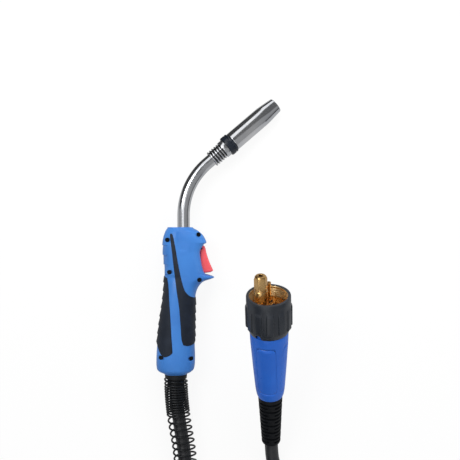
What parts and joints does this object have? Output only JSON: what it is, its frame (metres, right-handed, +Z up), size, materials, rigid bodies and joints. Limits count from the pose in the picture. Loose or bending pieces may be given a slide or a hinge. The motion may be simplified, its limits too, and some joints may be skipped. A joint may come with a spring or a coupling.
{
  "type": "mig welding torch",
  "caption": "Air-cooled MIG/MAG welding torch: contoured two-tone handle with red trigger, bent metal neck and gas nozzle, cable in a kink spring, central connector with a knurled nut",
  "frame": {"origin": "On the table, under the centre of the torch without its cable and connector. The torch lies on its side on z = 0.", "axes": "+Y runs along the handle towards the neck, +X is the side that the nozzle bends to and the trigger faces, +Z is up from the table."},
  "size_m": [0.2044, 0.5909, 0.1142],
  "materials": {
    "shell_blue": "satin",
    "connector_blue": "satin",
    "grip_black": "soft-touch matte",
    "collar_grey": "fine-grained matte",
    "trigger_red": "satin",
    "ring_dark": "moulded matte",
    "relief_black": "matte",
    "cable_black": "matte",
    "spring_black": "black coated wire",
    "inner_black": "matte",
    "white_plastic": "satin",
    "neck_chrome": "polished nickel",
    "nozzle_chrome": "polished, lightly drawn",
    "screw_steel": "zinc plated",
    "brass": "turned",
    "copper": "drawn copper"
  },
  "bodies": {
    "torch": {"right_shell": "shell_blue", "left_shell": "shell_blue", "front_grip_right": "grip_black", "front_grip_left": "grip_black", "rear_grip_right": "grip_black", "rear_grip_left": "grip_black", "handle_screws": "screw_steel", "trigger_pin": "screw_steel", "switch_body": "inner_black", "trigger_leads": "cable_black", "swan_neck": "neck_chrome", "neck_insulation": "white_plastic", "neck_core": "copper", "wire_liner": "inner_black", "neck_block": "brass", "cable_crimp": "copper", "cable_tail": "cable_black", "neck_head": "neck_chrome", "insulator_ring": "ring_dark", "nozzle_coil": "screw_steel", "tip_holder": "brass", "gas_diffuser": "white_plastic", "contact_tip": "copper", "spring_seat": "inner_black", "kink_spring": "spring_black", "cable_torch_side": "cable_black", "cable_coil": "cable_black", "cable_connector_side": "cable_black", "strain_relief": "relief_black", "cable_end": "cable_black", "connector_crimp": "copper", "connector_housing": "connector_blue", "housing_screw": "screw_steel", "retaining_ring": "screw_steel", "connector_body": "brass", "main_pin": "brass", "liner_nut": "brass", "pin_insulator_1": "inner_black", "pin_insulator_2": "inner_black", "control_pin_spring_1": "screw_steel", "control_pin_spring_2": "screw_steel"},
    "trigger": {"trigger": "trigger_red"},
    "plunger": {"switch_plunger": "trigger_red"},
    "nozzle": {"gas_nozzle": "nozzle_chrome"},
    "adaptor_nut": {"adaptor_nut": "collar_grey", "nut_thread_ring": "brass"},
    "pin_1": {"control_pin_1": "brass"},
    "pin_2": {"control_pin_2": "brass"}
  },
  "joints": [
    {"name": "trigger_pivot", "type": "hinge", "parent": "torch", "child": "trigger", "pos_m": [-0.01948, 0.04646, 0.0173], "axis": [-0.108, 0, -0.9942], "range_deg": [0, 7], "stiffness_Nm_per_rad": 0.4, "springref_deg": -2.86},
    {"name": "plunger_slide", "type": "slide", "parent": "torch", "child": "plunger", "axis": [-0.9942, 0, 0.108], "range_m": [0, 0.0023]},
    {"name": "nozzle_pull", "type": "slide", "parent": "torch", "child": "nozzle", "axis": [0.7526, 0.6534, -0.0818], "range_m": [0, 0.03]},
    {"name": "adaptor_nut_spin", "type": "hinge", "parent": "torch", "child": "adaptor_nut", "pos_m": [0.04906, -0.01221, 0.08724], "axis": [-0.0377, 0.9003, 0.4337], "continuous": true},
    {"name": "pin_1_slide", "type": "slide", "parent": "torch", "child": "pin_1", "axis": [0.0377, -0.9003, -0.4337], "range_m": [0, 0.002], "stiffness_N_per_m": 300, "springref_m": -0.001, "deforming": ["control_pin_spring_1"]},
    {"name": "pin_2_slide", "type": "slide", "parent": "torch", "child": "pin_2", "axis": [0.0377, -0.9003, -0.4337], "range_m": [0, 0.002], "stiffness_N_per_m": 300, "springref_m": -0.001, "deforming": ["control_pin_spring_2"]}
  ],
  "couplings": [
    {"joint": "plunger_slide", "follows": "trigger_pivot", "m_per_rad": 0.0175}
  ]
}
